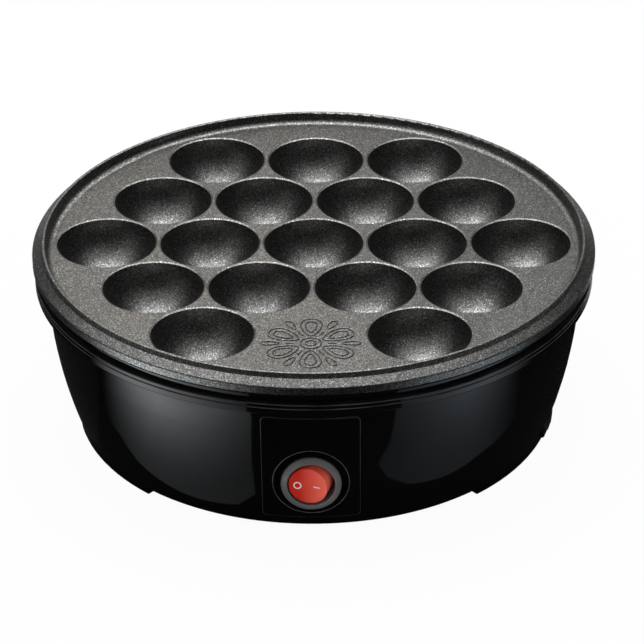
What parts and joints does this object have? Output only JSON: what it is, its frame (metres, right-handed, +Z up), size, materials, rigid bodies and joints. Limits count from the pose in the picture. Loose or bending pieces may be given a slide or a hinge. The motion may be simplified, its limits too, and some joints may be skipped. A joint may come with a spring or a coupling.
{
  "type": "takoyaki maker",
  "caption": "Round electric countertop cooker with a lift-off cast plate of half-round wells on a black barrel-shaped base with a round rocker switch.",
  "frame": {"origin": "on the table under the centre of the plate", "axes": "+Z up, -Y is the front with the switch, +X to the right seen from the front"},
  "size_m": [0.226, 0.226, 0.0785],
  "materials": {
    "nonstick": "metallic dark grey non-stick coating",
    "black_gloss": "high gloss",
    "black_resin": "gloss",
    "black_satin": "satin",
    "red_clear": "translucent red, gloss",
    "brass_tin": "tinned",
    "heater_steel": "dark annealed",
    "ceramic": "glazed white steatite",
    "aluminised": "satin aluminised",
    "zinc": "zinc plated",
    "rubber_grey": "matt",
    "black_base": "fine texture",
    "sleeve": "woven sleeve",
    "lead_jacket": "silicone",
    "block_white": "moulded"
  },
  "bodies": {
    "base": {"support_ring": "black_resin", "housing": "black_gloss", "foot_pads": "rubber_grey", "switch_panel": "black_gloss", "switch_body": "black_satin", "switch_terminals": "brass_tin", "heating_element": "heater_steel", "heater_pins": "brass_tin", "heater_insulators": "ceramic", "heater_hangers": "zinc", "hanger_screws": "zinc", "reflector_dish": "aluminised", "dish_screws": "zinc", "thermostat": "aluminised", "thermostat_spring": "zinc", "spring_screws": "zinc", "thermal_fuse": "sleeve", "fuse_clip": "zinc", "terminal_block": "block_white", "block_screws": "brass_tin", "cord_gland": "rubber_grey", "bottom_cover": "black_base", "cover_screws": "zinc", "supply_lead": "lead_jacket", "switch_lead": "lead_jacket", "lamp_lead": "lead_jacket", "fuse_lead": "lead_jacket", "heater_lead": "lead_jacket", "return_lead": "lead_jacket"},
    "plate": {"cooking_plate": "nonstick"},
    "rocker": {"rocker": "red_clear"}
  },
  "joints": [
    {"name": "plate_lift", "type": "slide", "parent": "base", "child": "plate", "axis": [0, 0, 1], "range_m": [0, 0.06]},
    {"name": "rocker_tilt", "type": "hinge", "parent": "base", "child": "rocker", "pos_m": [0, -0.0964, 0.0235], "axis": [0, 0, 1], "range_deg": [0, 25]}
  ]
}
